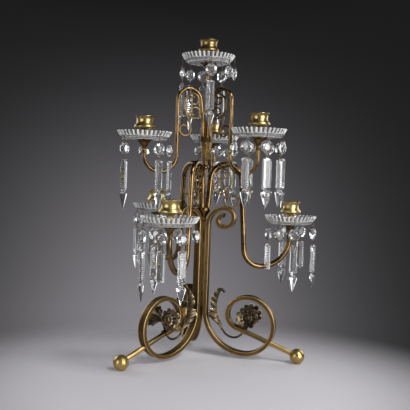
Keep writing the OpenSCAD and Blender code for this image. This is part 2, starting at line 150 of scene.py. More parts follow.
def speckle(place, scale, detail=4.0, rough=0.55):
    return place.add("ShaderNodeTexNoise", None,
                     {"Vector": place, "Scale": scale, "Detail": detail, "Roughness": rough})


def bumped(shader, height, strength, depth):
    bump = height.add("ShaderNodeBump", None,
                      {"Strength": strength, "Distance": depth, "Height": height})
    link(shader, "Normal", bump)


# what all the brass shares: clouds, spots and grain, and how far wear and dirt go
brassSkin = {"cloudEdges": (0.36, 0.66), "spotEdges": (0.52, 0.74), "spotScale": 4.5, "grainScale": 900.0,
             "spotRough": 0.12, "grainRough": 0.06, "spotDepth": 2.0, "depth": 0.0003,
             "patchScale": 160.0, "patchEdges": (0.2, 0.6), "patch": 0.2, "rubAndLitEdges": (0.5, 1.0),
             "rubAndLit": 0.85, "rubAndLitShine": 0.1, "stemDarkening": 0.8, "shadeAmount": 0.72}


def brass(name, v):
    skin = brassSkin
    material, shader, place = newFinish(name)
    shader.inputs["Metallic"].default_value = 1.0
    cloud = speckle(place, v["cloud"], 5.0).between(*skin["cloudEdges"])
    spots = speckle(place, v["cloud"] * skin["spotScale"], 6.0, 0.65).between(*skin["spotEdges"])
    grain = speckle(place, skin["grainScale"], 3.0)
    tone = cloud.mixed(colour(v["bright"]), colour(v["dull"]))
    tone = (spots * v["spots"]).mixed(tone, colour(v["dark"]))
    smooth, coarse = v["rough"]
    rough = smooth + (coarse - smooth) * cloud + skin["spotRough"] * spots + skin["grainRough"] * grain
    if "wear" in v:  # rubbed arrises on the bars; painted highlight on the leaf ridges and on the flower rims and throat crests
        patch = speckle(place, skin["patchScale"]).between(*skin["patchEdges"])
        wornAndLit = place.own("wear") * (1 - skin["patch"] + skin["patch"] * patch)
        rubbedAndLit = wornAndLit.between(*skin["rubAndLitEdges"])
        tone = (rubbedAndLit * skin["rubAndLit"]).mixed(tone, colour(v["wear"]))
        rough = rough - skin["rubAndLitShine"] * rubbedAndLit
    if "reach" in v:  # darker near the stem, brighter further out
        x, y, z = place.axes()
        inner = 1 - ((x * x + y * y) ** 0.5).between(*v["reach"])
        tone = (inner * skin["stemDarkening"]).mixed(tone, colour(v["inner"]))
    if "shadeHeight" in v:  # painted shade: darker higher up
        x, y, z = place.axes()
        tone = (z.between(*v["shadeHeight"]) * skin["shadeAmount"]).mixed(tone, colour(v["dark"]))
    link(shader, "Base Color", tone)
    link(shader, "Roughness", rough)
    bumped(shader, grain + skin["spotDepth"] * spots, v["bump"], skin["depth"])
    return material


# what all the glass shares: faint clouds and dust
glassSkin = {"cloudScale": 70.0, "cloudEdges": (0.35, 0.7), "dustScale": 420.0, "dustEdges": (0.56, 0.8),
             "dustRough": 0.05, "cutEdges": (0.35, 1.0), "depth": 0.001}


def crystal(name, v):
    skin = glassSkin
    material, shader, place = newFinish(name)
    shader.inputs["Transmission Weight"].default_value = 1.0 - v["milk"]
    shader.inputs["IOR"].default_value = v["ior"]
    cloud = speckle(place, skin["cloudScale"], 3.0).between(*skin["cloudEdges"])
    dust = speckle(place, skin["dustScale"], 4.0, 0.6).between(*skin["dustEdges"])
    tone = cloud.mixed(colour(v["clear"]), colour(v["tint"]))
    if "hollow" in v:  # painted shade: deeper cuts are painted darker
        tone = place.own("cut").between(*skin["cutEdges"]).mixed(tone, colour(v["hollow"]))
    link(shader, "Base Color", tone)
    link(shader, "Roughness", v["rough"] + skin["dustRough"] * dust)
    if "facet" in v:  # small cut cells that break up what is seen through the glass
        scale, strength = v["facet"]
        cells = place.add("ShaderNodeTexVoronoi", None, {"Vector": place, "Scale": scale})
        bumped(shader, cells, strength, skin["depth"])
    return material


brassFinishes = {
    "barBrass": {"bright": (0.205, 0.118, 0.042), "dull": (0.118, 0.068, 0.023),
                 "dark": (0.04, 0.026, 0.012), "rough": (0.34, 0.46), "cloud": 38.0, "spots": 0.4,
                 "bump": 0.08, "wear": (0.5, 0.36, 0.15)},
    "armBrass": {"bright": (0.21, 0.132, 0.055), "dull": (0.113, 0.07, 0.028),
                 "dark": (0.08, 0.05, 0.02), "rough": (0.16, 0.24), "cloud": 45.0, "spots": 0.3,
                 "bump": 0.06},
    "castBrass": {"bright": (0.2, 0.122, 0.042), "dull": (0.08, 0.048, 0.017),
                  "dark": (0.03, 0.02, 0.01), "rough": (0.15, 0.28), "cloud": 60.0, "spots": 0.65,
                  "bump": 0.15},
    # painted shade: the stem core between the bars is made near black
    "shadeBrass": {"bright": (0.06, 0.042, 0.022), "dull": (0.03, 0.021, 0.012),
                   "dark": (0.012, 0.009, 0.006), "rough": (0.5, 0.65), "cloud": 60.0, "spots": 0.5,
                   "bump": 0.15},
    # painted shade: the sockets are darkened towards the top
    "nozzleBrass": {"bright": (0.68, 0.53, 0.235), "dull": (0.45, 0.345, 0.145),
                    "dark": (0.13, 0.085, 0.03), "rough": (0.27, 0.38), "cloud": 70.0, "spots": 0.2,
                    "bump": 0.06, "shadeHeight": (0.2, 0.56)},
    "footBrass": {"bright": (0.56, 0.40, 0.15), "dull": (0.40, 0.27, 0.10),
                  "dark": (0.17, 0.11, 0.04), "rough": (0.26, 0.40), "cloud": 70.0, "spots": 0.4,
                  "bump": 0.15, "reach": (0.112, 0.124), "inner": (0.12, 0.08, 0.037)},
    # painted highlight: the pale pinkish colour here is laid on the lit ridges and rims of the leaves and
    # flowers
    "leafBrass": {"bright": (0.105, 0.08, 0.045), "dull": (0.036, 0.028, 0.017),
                  "dark": (0.014, 0.011, 0.008), "rough": (0.26, 0.42), "cloud": 90.0, "spots": 0.7,
                  "bump": 0.15, "wear": (0.60, 0.46, 0.33)},
    "wireBrass": {"bright": (0.12, 0.10, 0.07), "dull": (0.07, 0.055, 0.04),
                  "dark": (0.02, 0.016, 0.012), "rough": (0.35, 0.5), "cloud": 120.0, "spots": 0.5,
                  "bump": 0.15},
    "pinBrass": {"bright": (0.18, 0.14, 0.09), "dull": (0.10, 0.075, 0.05),
                 "dark": (0.06, 0.04, 0.02), "rough": (0.3, 0.45), "cloud": 200.0, "spots": 0.5,
                 "bump": 0.15},
}
glassFinishes = {
    # painted shade: panGlass darkens the deep cuts towards its hollow colour
    "panGlass": {"ior": 1.52, "clear": (0.99, 0.99, 0.985), "tint": (0.95, 0.955, 0.96), "milk": 0.12,
                 "rough": 0.03, "hollow": (0.3, 0.3, 0.3), "facet": (330.0, 0.45)},
    # painted highlight: a milkier copy of the pan glass for the faces that should read as lit
    "crestHighlightGlass": {"ior": 1.52, "clear": (0.99, 0.99, 0.985), "tint": (0.95, 0.955, 0.96), "milk": 0.55,
                   "rough": 0.04},
    "dropGlass": {"ior": 1.55, "clear": (0.98, 0.985, 0.99), "tint": (0.92, 0.94, 0.96), "milk": 0.05,
                  "rough": 0.012},
    "groundGlass": {"ior": 1.55, "clear": (0.98, 0.985, 0.99), "tint": (0.92, 0.94, 0.96), "milk": 0.4,
                    "rough": 0.1},
}
finishes = {name: brass(name, v) for name, v in brassFinishes.items()}
finishes.update({name: crystal(name, v) for name, v in glassFinishes.items()})
print("finishes made:", len(finishes))


# modelling helpers
def pickNone():
    if bpy.context.object and bpy.context.object.mode != "OBJECT":
        bpy.ops.object.mode_set(mode="OBJECT")
    bpy.ops.object.select_all(action="DESELECT")


def closeEdit(name, sharp=35):
    bpy.ops.mesh.select_all(action="SELECT")
    bpy.ops.mesh.remove_doubles(threshold=2e-6)
    bpy.ops.mesh.normals_make_consistent(inside=False)
    bpy.ops.object.mode_set(mode="OBJECT")
    piece = bpy.context.object
    piece.name = name
    if sharp:
        bpy.ops.object.shade_smooth_by_angle(angle=math.radians(sharp))
    else:
        bpy.ops.object.shade_flat()
    return piece


def copyTo(piece, name, matrix):
    twin = piece.copy()
    twin.data = piece.data.copy()
    twin.name = name
    twin.data.transform(matrix)
    bpy.context.scene.collection.objects.link(twin)
    return twin


def joined(parts, name):
    if len(parts) == 1:
        parts[0].name = name
        return parts[0]
    pickNone()
    for part in parts:
        part.select_set(True)
    bpy.context.view_layer.objects.active = parts[0]
    bpy.ops.object.join()
    parts[0].name = name
    return parts[0]


def repeated(master, name, matrices):
    copies = [copyTo(master, name + str(k), m) for k, m in enumerate(matrices)]
    bpy.data.objects.remove(master)
    return joined(copies, name)


def dressed(piece, finish, body, slot, *stoodFor):
    if not piece.data.materials:
        piece.data.materials.append(finishes[finish])
    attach(piece, body)
    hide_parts(*stoodFor)
    return piece


def turned(degrees, place=(0, 0, 0)):
    return (Matrix.Rotation(math.radians(degrees), 4, "Z")
            @ Matrix.Translation([c * mm for c in place]))


# paths in a vertical plane: (radius, turn) arcs or (0, length) straights, in mm and degrees
def hubOf(place, heading, leg):
    side = math.copysign(leg[0], leg[1])
    h = math.radians(heading)
    return place[0] - side * math.sin(h), place[1] + side * math.cos(h)


def stepOn(place, heading, leg):
    if leg[0] == 0:
        h = math.radians(heading)
        return (place[0] + leg[1] * math.cos(h), place[1] + leg[1] * math.sin(h)), heading
    hub = hubOf(place, heading, leg)
    side = math.copysign(leg[0], leg[1])
    h = math.radians(heading + leg[1])
    return (hub[0] + side * math.sin(h), hub[1] - side * math.cos(h)), heading + leg[1]


def pathEnd(place, heading, path):
    for leg in path:
        place, heading = stepOn(place, heading, leg)
    return place, heading


def backwards(place, heading, path):
    place, heading = pathEnd(place, heading, path)
    return place, heading + 180, [(r, -t if r else t) for r, t in reversed(path)]


def flatSection(section):  # a bevelled strip, with its arrises marked as worn
    thick, wide = section["flat"]
    nearly = 0.999
    bpy.ops.mesh.primitive_plane_add(size=mm)
    bpy.ops.object.mode_set(mode="EDIT")
    bpy.ops.transform.resize(value=(thick, wide, 1))
    bpy.ops.mesh.bevel(offset=section["edge"] * mm, segments=3, affect="VERTICES")
    if "cuts" in section:  # points along the flats, so that wear stays on the arrises
        bpy.ops.mesh.select_all(action="DESELECT")
        bpy.ops.object.mode_set(mode="OBJECT")
        data = bpy.context.object.data
        for edge in data.edges:
            a, b = (data.vertices[i].co for i in edge.vertices)
            edge.select = (a - b).length > section["edge"] * 2 * mm
        bpy.ops.object.mode_set(mode="EDIT")
        bpy.ops.mesh.select_mode(type="EDGE")
        bpy.ops.mesh.subdivide(number_cuts=section["cuts"])
        bpy.ops.mesh.select_mode(type="VERT")
    bpy.ops.object.mode_set(mode="OBJECT")
    data = bpy.context.object.data
    wear = data.attributes.new("wear", "FLOAT", "POINT")
    for point in data.vertices:
        near = (abs(point.co.x) > (thick / 2 - section["edge"]) * mm * nearly
                and abs(point.co.y) > (wide / 2 - section["edge"]) * mm * nearly)
        wear.data[point.index].value = 1.0 if near else 0.0


def sweep(name, section, place, heading, path, stepTurn=5.0):
    pickNone()
    if "round" in section:
        bpy.ops.mesh.primitive_circle_add(vertices=section["sides"], fill_type="NGON",
                                          radius=section["round"] / 2 * mm)
    else:
        flatSection(section)
    piece = bpy.context.object
    piece.rotation_euler = (0, math.radians(90 - heading), 0)
    piece.location = (place[0] * mm, 0, place[1] * mm)
    bpy.ops.object.transform_apply(location=True, rotation=True, scale=True)
    bpy.ops.object.mode_set(mode="EDIT")
    bpy.ops.mesh.select_all(action="SELECT")
    for leg in path:
        end, turnedTo = stepOn(place, heading, leg)
        if leg[0] == 0:
            bpy.ops.mesh.extrude_region_move(TRANSFORM_OT_translate={
                "value": ((end[0] - place[0]) * mm, 0, (end[1] - place[1]) * mm)})
        else:
            hub = hubOf(place, heading, leg)
            bpy.ops.mesh.spin(steps=max(2, math.ceil(abs(leg[1]) / stepTurn)),
                              angle=math.radians(leg[1]),
                              center=(hub[0] * mm, 0, hub[1] * mm), axis=(0, 1, 0))
        place, heading = end, turnedTo
    return closeEdit(name)


def smoothLine(points, cuts):  # a smooth line through profile points
    line = []
    for k in range(len(points) - 1):
        a, b = points[max(k - 1, 0)], points[k]
        c, d = points[k + 1], points[min(k + 2, len(points) - 1)]
        for j in range(cuts):
            t = j / cuts
            line.append(tuple(0.5 * (2 * b[i] + (c[i] - a[i]) * t
                                     + (2 * a[i] - 5 * b[i] + 4 * c[i] - d[i]) * t * t
                                     + (3 * b[i] - a[i] - 3 * c[i] + d[i]) * t ** 3)
                              for i in (0, 1)))
    return line + [points[-1]]


def lathe(name, line, steps, sharp=35):
    pickNone()
    bpy.ops.mesh.primitive_plane_add(size=mm)
    bpy.ops.object.mode_set(mode="EDIT")
    bpy.ops.mesh.select_mode(type="VERT")
    bpy.ops.mesh.merge(type="CENTER")
    bpy.ops.transform.translate(value=(line[0][0] * mm, 0, line[0][1] * mm))
    for a, b in zip(line, line[1:]):
        bpy.ops.mesh.extrude_region_move(TRANSFORM_OT_translate={
            "value": ((b[0] - a[0]) * mm, 0, (b[1] - a[1]) * mm)})
    bpy.ops.mesh.select_all(action="SELECT")
    bpy.ops.mesh.spin(steps=steps, angle=2 * math.pi, center=(0, 0, 0), axis=(0, 0, 1))
    return closeEdit(name, sharp)


def ball(name, radius, place, sides):
    pickNone()
    bpy.ops.mesh.primitive_uv_sphere_add(segments=sides, ring_count=sides // 2,
                                         radius=radius * mm, location=[c * mm for c in place])
    bpy.ops.object.transform_apply(location=True, rotation=True, scale=True)
    bpy.ops.object.mode_set(mode="EDIT")
    return closeEdit(name, 60)


# where the legs, arms and pans stand
legTurns = [105, 225, 345]
cupHeight = 20.8
pans = {  # turn, reach and underside of each pan, in degrees and mm
    "top": {"turn": 0, "reach": 0, "under": 490.8},
    "upper_back": {"turn": 81.7, "reach": 107.2, "under": 362.6},
    "upper_left": {"turn": 201.7, "reach": 107.2, "under": 358.2},
    "upper_right": {"turn": 321.7, "reach": 107.2, "under": 366.8},
    "lower_back": {"turn": 124.7, "reach": 154, "under": 234.4},
    "lower_front": {"turn": 251.5, "reach": 154, "under": 227.4},
    "lower_right": {"turn": 371.5, "reach": 154, "under": 224.8},
}


def atPan(pan, rise=0.0):
    a = math.radians(pan["turn"])
    return Matrix.Translation((pan["reach"] * math.cos(a) * mm, pan["reach"] * math.sin(a) * mm,
                               (pan["under"] + rise) * mm))


def atPans(rise=0.0):
    return [atPan(pan, rise) for pan in pans.values()]


def pansOf(group):
    return [pan for name, pan in pans.items() if name.startswith(group)]


# leg bars: one strip from the volute down the stem, through the scroll, to the rod seat
legBar = {"section": {"flat": (6.75, 14), "edge": 0.8, "cuts": 3}, "start": (9.6, 76.675),
          "volute": [(0, 144.925), (28, -90), (15.8, -180), (11.5, -90), (8, -110)],
          "scroll": [(69, 90), (48, 90), (48.5, 60), (38, 80), (24.5, 109.5), (0, 17)]}
barStart, barHeading, barUp = backwards(legBar["start"], 90, legBar["volute"])
legBars = sweep("legBar", legBar["section"], barStart, barHeading, barUp + legBar["scroll"], 4.0)
legBars = repeated(legBars, "legBars", [turned(t) for t in legTurns])
dressed(legBars, "barBrass", "stand", "dark_brass", "leg_bars")
print("leg bars made")


# arms: tubes from the socket and the cornet, over an arch, down and up to a cup
lowerArm = {"section": {"round": 8.8, "sides": 24}, "start": (7, 244.8), "heading": 86,
            "first": [(0, 54), (27, -172), (0, 120)], "dip": 104}
upperArm = {"section": {"round": 6.6, "sides": 20}, "start": (5.4, 364.2), "heading": 90,
            "first": [(0, 22.6), (80, -8), (0, 32), (20.4, -172), (0, 91.6)]}


def armPath(v, pan):
    (x, z), h = pathEnd(v["start"], v["heading"], v["first"])
    if "dip" in v:  # two bends with the lowest point at the dip
        bend = [((v["dip"] - x) / math.sin(math.radians(-h)), -h), (pan["reach"] - v["dip"], 90)]
    else:
        bend = [((pan["reach"] - x) / 2, 180)]
    path = v["first"] + bend
    (x, z), h = pathEnd(v["start"], v["heading"], path)
    return path + [(0, pan["under"] - cupHeight - z)]


def arms(name, v, group):
    tubes = []
    for pan in pansOf(group):
        tube = sweep(name, v["section"], v["start"], v["heading"], armPath(v, pan))
        tubes.append(copyTo(tube, name, turned(pan["turn"])))
        bpy.data.objects.remove(tube)
    return joined(tubes, name)


dressed(arms("lowerArms", lowerArm, "lower"), "armBrass", "stand", "arm_brass", "lower_arms")
dressed(arms("upperArms", upperArm, "upper"), "armBrass", "stand", "arm_brass", "upper_arms")
print("arms made")


# strip scrolls inside the arches
def archHub(v, bend):  # centre of an arm's arch, the bend of that number in its path
    return hubOf(*pathEnd(v["start"], v["heading"], v["first"][:bend]), v["first"][bend])


upperScroll = {"section": {"flat": (2.4, 3.4), "edge": 0.8}, "hub": archHub(upperArm, 3),
               "start": (8.6, -3.9), "up": [(17, 70), (10, 100), (8.3, 170), (5, 150)],
               "down": [(0, 4), (22, -65), (10, -115), (8.5, -170), (5, -120)],
               "tail": (6.8, -16.9), "tailTurn": 250, "tailPath": [(0, 29), (10.2, 200), (7, 180)],
               "bead": (-4.65, 14.27, 2.6), "eye": 1.7}
lowerScroll = {"section": {"flat": (2.6, 3.6), "edge": 0.8}, "hub": archHub(lowerArm, 1),
               "start": (8.8, 1.1), "up": [(19, 70), (10.2, 100), (8.6, 170), (5.4, 150)],
               "down": [(0, 2), (24, -65), (11, -115), (9, -170), (5.4, -120)],
               "tail": (7.4, -9.9), "tailTurn": 245, "tailPath": [(0, 20), (13.4, 195), (8.4, 180)],
               "bead": (-4.42, 19.62, 3), "eye": 1.8}


def scrolls(name, v, group):
    x, z = v["hub"]
    start = (x + v["start"][0], z + v["start"][1])
    tail = (x + v["tail"][0], z + v["tail"][1])
    place, heading, path = backwards(start, 90, v["up"])
    parts = [sweep(name, v["section"], place, heading, path + v["down"], 8.0),
             sweep(name, v["section"], tail, v["tailTurn"], v["tailPath"], 8.0)]
    ends = [pathEnd(start, 90, v["up"])[0], pathEnd(start, -90, v["down"])[0],
            pathEnd(tail, v["tailTurn"], v["tailPath"])[0]]
    for endX, endZ in ends:  # rolled ends
        parts.append(ball(name, v["eye"], (endX, 0, endZ), 16))
    beadX, beadZ, beadSize = v["bead"]
    parts.append(ball(name, beadSize, (x + beadX, 0, z + beadZ), 16))
    return repeated(joined(parts, name), name, [turned(pan["turn"]) for pan in pansOf(group)])


dressed(scrolls("lowerScrolls", lowerScroll, "lower"), "armBrass", "stand", "arm_brass",
        "lower_scrolls")
dressed(scrolls("upperScrolls", upperScroll, "upper"), "armBrass", "stand", "arm_brass",
        "upper_scrolls")
print("scrolls made")


# turned brass: candle sockets, cups under the pans, the cornet
candleSocket = {"foot": [(0, 3.45), (6.2, 3.45)],
                "body": [(6.6, 3.9), (6.4, 5.2), (5.5, 8), (5.5, 12.8), (6.8, 15.6), (10.5, 17.4),
                         (15.2, 18.6), (17.4, 20.2), (17.5, 21.8), (16.6, 23.8), (14.9, 25.8),
                         (13.8, 28.2), (13.5, 30.8), (13.8, 33.6), (14.7, 35.9), (15.8, 37.2)],
                "lip": [(16.2, 37.8), (16, 38.4), (15.2, 38.6), (13.4, 38.1), (12, 37)],
                "bore": [(11.2, 35.6), (11.2, 21.6), (0, 21.6)]}
socketLine = (candleSocket["foot"] + smoothLine(candleSocket["body"], 3) + candleSocket["lip"]
              + candleSocket["bore"])
candleSockets = repeated(lathe("candleSocket", socketLine, 48), "candleSockets", atPans())
dressed(candleSockets, "nozzleBrass", "stand", "polished_brass", "candle_sockets")

panCup = {"collar": [(4.1, 0.05), (5, 0.7), (5.15, 1.6), (5, 2.5), (4.2, 3.1)],
          "bell": [(3.75, 4.2), (3.65, 6.2), (4.1, 8.6), (5.2, 11.4), (7, 14.6), (9.6, 17.4),
                   (12.3, 19), (13.8, 19.6)],
          "lip": [(14.2, 20.1), (14.1, 20.7), (0, 20.75)]}
cupLine = ([(0, 0.05)] + smoothLine(panCup["collar"], 3) + smoothLine(panCup["bell"], 3)
           + panCup["lip"])
panCups = repeated(lathe("panCup", cupLine, 40), "panCups", atPans(-cupHeight))
dressed(panCups, "castBrass", "stand", "dark_brass", "pan_cups")

cornet = {"base": 313, "flutes": 12, "depth": 0.9, "fluted": (15, 48),
          "knop": [(0, 0.1), (3.6, 0.1), (6.2, 2), (6.8, 4.4), (6, 7), (4.3, 9), (4.4, 13)],
          "cone": [(5.0, 16), (6.4, 28), (7.8, 40), (8.8, 47.6)],
          "rim": [(9.2, 49), (9.3, 53.4), (9.7, 54.2), (9.7, 55.8), (9.2, 56.1), (0, 56.1)]}


def shrunk(point, share):  # a point drawn in towards the axis
    point.co.x *= share
    point.co.y *= share


def makeCornet(v):
    line = smoothLine(v["knop"], 3) + smoothLine(v["cone"], 3) + v["rim"]
    piece = lathe("cornetHorn", line, v["flutes"] * 4, 30)
    low, high = v["fluted"]
    for point in piece.data.vertices:  # hollow flutes up the cone
        if low < point.co.z / mm < high:
            turn = math.atan2(point.co.y, point.co.x) * v["flutes"] / 2
            cut = v["depth"] * math.sin(turn) ** 2
            shrunk(point, 1 - cut * mm / math.hypot(point.co.x, point.co.y))
    piece.data.transform(Matrix.Translation((0, 0, v["base"] * mm)))
    return piece


dressed(makeCornet(cornet), "castBrass", "stand", "dark_brass", "cornet")
print("turned brass made")


# glass pans: a dish with scalloped flutes cut round its wall
glassPan = {"flutes": 36, "cut": 2.3, "dip": 1.0, "band": 5.8, "baseCut": 0.3, "rim": 13,
            "line": [(3.05, 0), (12, 0), (22, 0), (34.8, 0), (36.6, 1.0), (39.2, 5.2), (40.3, 5.6),
                     (40.6, 6.3), (42.6, 9.6), (44.6, 12.8), (44.5, 14), (42.4, 14), (38.4, 8.6),
                     (34.4, 3.4), (3.05, 3.4), (3.05, 0)],
            "star": [(12, 0.54), (22, 0.9), (34.8, 0.18)],  # rings of the star cut and their depths
            "foot": 36, "wall": 34.75, "slope": 0.65, "sag": 0.6,  # where the outer wall begins
            "shadow": (4, 5.4), "paintedShade": 0.8,  # painted shadow: dark band under the ledge
            "crest": 0.6, "ledge": (5.2, 6.2), "base": 0.9, "lip": 13.2}  # painted highlight: what is left pale


def makePan(v):
    pan = lathe("glassPan", v["line"], v["flutes"] * 4, 0)
    paintedShade = pan.data.attributes.new("cut", "FLOAT", "POINT")
    for point in pan.data.vertices:
        r = math.hypot(point.co.x, point.co.y) / mm
        z = point.co.z / mm
        hollow = abs(math.sin(math.atan2(point.co.y, point.co.x) * v["flutes"] / 2))
        if r > v["foot"] and (z > v["rim"] or r > v["wall"] + z * v["slope"]):
            shrunk(point, 1 - v["cut"] * hollow / r * (1 if z > v["band"] else v["baseCut"]))
            # painted shade in the flute hollows and painted shadow in the band under the ledge
            if v["band"] < z < v["rim"]:
                paintedShade.data[point.index].value = hollow
            elif v["shadow"][0] < z < v["shadow"][1]:
                paintedShade.data[point.index].value = v["paintedShade"]
            elif z > v["rim"]:
                point.co.z -= v["dip"] * hollow * mm
        elif z < v["base"]:  # star cut in the underside
            depth = sum(deep for ring, deep in v["star"] if abs(r - ring) < 1)
            point.co.z += depth * hollow * mm
    for name in ("panGlass", "crestHighlightGlass"):
        pan.data.materials.append(finishes[name])
    for face in pan.data.polygons:  # painted highlight: the crests, the rim, the ledge and the base edge get the milkier glass
        x, y, z = [c / mm for c in face.center]
        crest = abs(math.sin(math.atan2(y, x) * v["flutes"] / 2)) < v["crest"]
        outer = math.hypot(x, y) > v["wall"] - v["sag"] + z * v["slope"]
        low, high = v["ledge"]
        if z > v["lip"] or outer and (crest and z > high or low < z < high or z < v["base"]):
            face.material_index = 1
    return pan


glassPans = repeated(makePan(glassPan), "glassPans", atPans())
dressed(glassPans, "panGlass", "stand", "cut_glass", "glass_pans")
print("glass pans made")


# pendants: octagon, wire link and spear, hung at each hook
crystalDrop = {"octagon": {"wide": 19, "high": 19.8, "girdle": 1.0, "middle": -10.1,
                           "crown": [(1.6, 0.78), (1.4, 0.6)]},
               "link": {"middle": -23.4, "reach": 5.2, "wide": 1.7, "wire": 0.5, "waist": 0.4,
                        "swell": 1.6},
               "spear": {"top": -27.36, "long": 78, "broken": 46, "body": 45, "chipLong": 3,
                         "section": [(7, 1), (5.2, 1.7), (0, 4.6), (-5.2, 1.7), (-7, 1), (-7, -1),
                                     (-4.5, -3.2), (4.5, -3.2), (7, -1)],
                         "shoulder": [(0.0, 0.66), (1.0, 0.8), (2.4, 1.0)],
                         "teeth": 14, "edge": 6.9, "notch": 2.3, "ground": 5, "ridge": 4, "step": 1.0,
                         "head": [(0.6, 0.72), (0.632, 0.4), (0.648, 0.36), (0.662, 0.5),
                                  (0.684, 1.06), (0.7, 1.07), (0.79, 0.8), (0.89, 0.46), (1.0, 0.04)],
                         "chip": [(0.97, 0.8), (1.0, 0.3)]}}
hang = {"out": 44.8, "rise": -6}  # eye of a hook, from the pan's axis and underside
hookTurns = {
    "top": [-84, -40, 7, 57, 101, 133, 164],
    "upper_back": [53, 98, 233, 278, 323],
    "upper_left": [-53, -21, 60, 96, 231],
    "upper_right": [-77, -37, 35, 63, 104, 147, 241],
    "lower_back": [105, 150, 240, 285],
    "lower_front": [29, 78, 123, 213, 258, 298],
    "lower_right": [-87, -34, 20, 57, 99, 210, 239],
}
alone, whole, broken = 1, 2, 3  # octagon alone, with a whole spear, with a broken one
hookKinds = {
    "top": [whole, alone, alone, whole, whole, whole, whole],
    "upper_back": [whole] * 5,
    "upper_left": [whole, whole, alone, alone, whole],
    "upper_right": [whole, whole, whole, whole, whole, alone, whole],
    "lower_back": [whole] * 4,
    "lower_front": [alone, alone, whole, whole, broken, whole],
    "lower_right": [whole, whole, alone, broken, whole, broken, alone],
}


def pickFace(test):
    bpy.ops.mesh.select_all(action="DESELECT")
    bpy.ops.object.mode_set(mode="OBJECT")
    for face in bpy.context.object.data.polygons:
        face.select = test(face)
    bpy.ops.object.mode_set(mode="EDIT")
    bpy.ops.mesh.select_mode(type="FACE")


def makeOctagon(v):
    pickNone()
    eighth = math.pi / 8
    bpy.ops.mesh.primitive_cylinder_add(vertices=8, radius=v["wide"] / 2 / math.cos(eighth) * mm,
                                        depth=v["girdle"] * mm, rotation=(math.pi / 2, eighth, 0))
    bpy.ops.object.transform_apply(location=True, rotation=True, scale=True)
    bpy.ops.object.mode_set(mode="EDIT")
    bpy.ops.transform.resize(value=(1, 1, v["high"] / v["wide"]))
    for side in (-1, 1):
        pickFace(lambda face: face.normal.y * side > 0.9)
        depth = v["girdle"] / 2
        for rise, scale in v["crown"]:
            bpy.ops.mesh.extrude_region_move(TRANSFORM_OT_translate={
                "value": (0, side * rise * mm, 0)})
            depth += rise
            middle = (0, side * depth * mm, 0)
            bpy.ops.transform.resize(value=(scale, 1, scale), center_override=middle)
            bpy.ops.transform.rotate(value=eighth, orient_axis="Y", center_override=middle)
    bpy.ops.mesh.select_all(action="SELECT")
    bpy.ops.mesh.quads_convert_to_tris()
    bpy.ops.transform.translate(value=(0, 0, v["middle"] * mm))
    return closeEdit("octagonCrystal", 0)


def makeSpear(v, kind):
    pickNone()
    bpy.ops.mesh.primitive_circle_add(vertices=len(v["section"]), fill_type="NGON", radius=mm)
    for point, (x, y) in zip(bpy.context.object.data.vertices, v["section"]):
        point.co = (x * mm, y * mm, 0)
    bpy.ops.object.mode_set(mode="EDIT")
    bpy.ops.mesh.select_mode(type="VERT")
    bpy.ops.mesh.select_all(action="SELECT")
    bpy.ops.transform.translate(value=(0, 0, v["top"] * mm))
    if kind == broken:
        bodyEnd, length, tip = v["broken"] - v["chipLong"], v["broken"], v["chip"]
    else:
        bodyEnd, length, tip = v["body"], v["long"], v["head"]
    sawStart = v["shoulder"][-1][0]
    flanks = 2 * v["teeth"]
    flank = (bodyEnd - sawStart) / flanks
    rings = v["shoulder"] + [(sawStart + flank * k, 1.0) for k in range(1, flanks + 1)]
    rings = rings + [(part * length, size) for part, size in tip]
    bpy.ops.transform.resize(value=(rings[0][1], rings[0][1], 1),
                             center_override=(0, 0, v["top"] * mm))
    for (down, size), (nextDown, nextSize) in zip(rings, rings[1:]):
        bpy.ops.mesh.extrude_region_move(TRANSFORM_OT_translate={
            "value": (0, 0, (down - nextDown) * mm)})
        bpy.ops.transform.resize(value=(nextSize / size, nextSize / size, 1),
                                 center_override=(0, 0, (v["top"] - nextDown) * mm))
    piece = closeEdit("spearCrystal", 0)
    for point in piece.data.vertices:  # saw teeth down both edges, steps down the ridge
        k = round((v["top"] - point.co.z / mm - sawStart) / flank)
        if not 0 < k < flanks or k % 2 == 0:
            continue
        if abs(point.co.x) > v["edge"] * mm:
            point.co.x -= math.copysign(v["notch"] * mm, point.co.x)
        if point.co.y > v["ridge"] * mm:
            point.co.y -= v["step"] * mm
    for face in piece.data.polygons:  # one flank of each tooth is left ground
        k = math.floor((v["top"] - face.center.z / mm - sawStart) / flank)
        if 0 <= k < flanks and k % 2 and abs(face.center.x) > v["ground"] * mm:
            face.material_index = 1
    return piece


def makeLink(v):
    pickNone()
    bpy.ops.mesh.primitive_torus_add(major_segments=20, minor_segments=6,
                                     major_radius=v["wide"] * mm, minor_radius=v["wire"] * mm,
                                     rotation=(math.pi / 2, 0, 0))
    bpy.ops.object.transform_apply(location=True, rotation=True, scale=True)
    bpy.ops.object.mode_set(mode="EDIT")
    bpy.ops.transform.translate(value=(0, 0, v["middle"] * mm))
    piece = closeEdit("wireLink", 60)
    for point in piece.data.vertices:  # drawn out long and pinched at the waist
        z = point.co.z / mm - v["middle"]
        pinch = v["waist"] + (1 - v["waist"]) * min(1.0, abs(z) / v["wide"] * v["swell"])
        point.co.x *= pinch
        point.co.z = (v["middle"] + z * v["reach"] / (v["wide"] + v["wire"])) * mm
    return piece


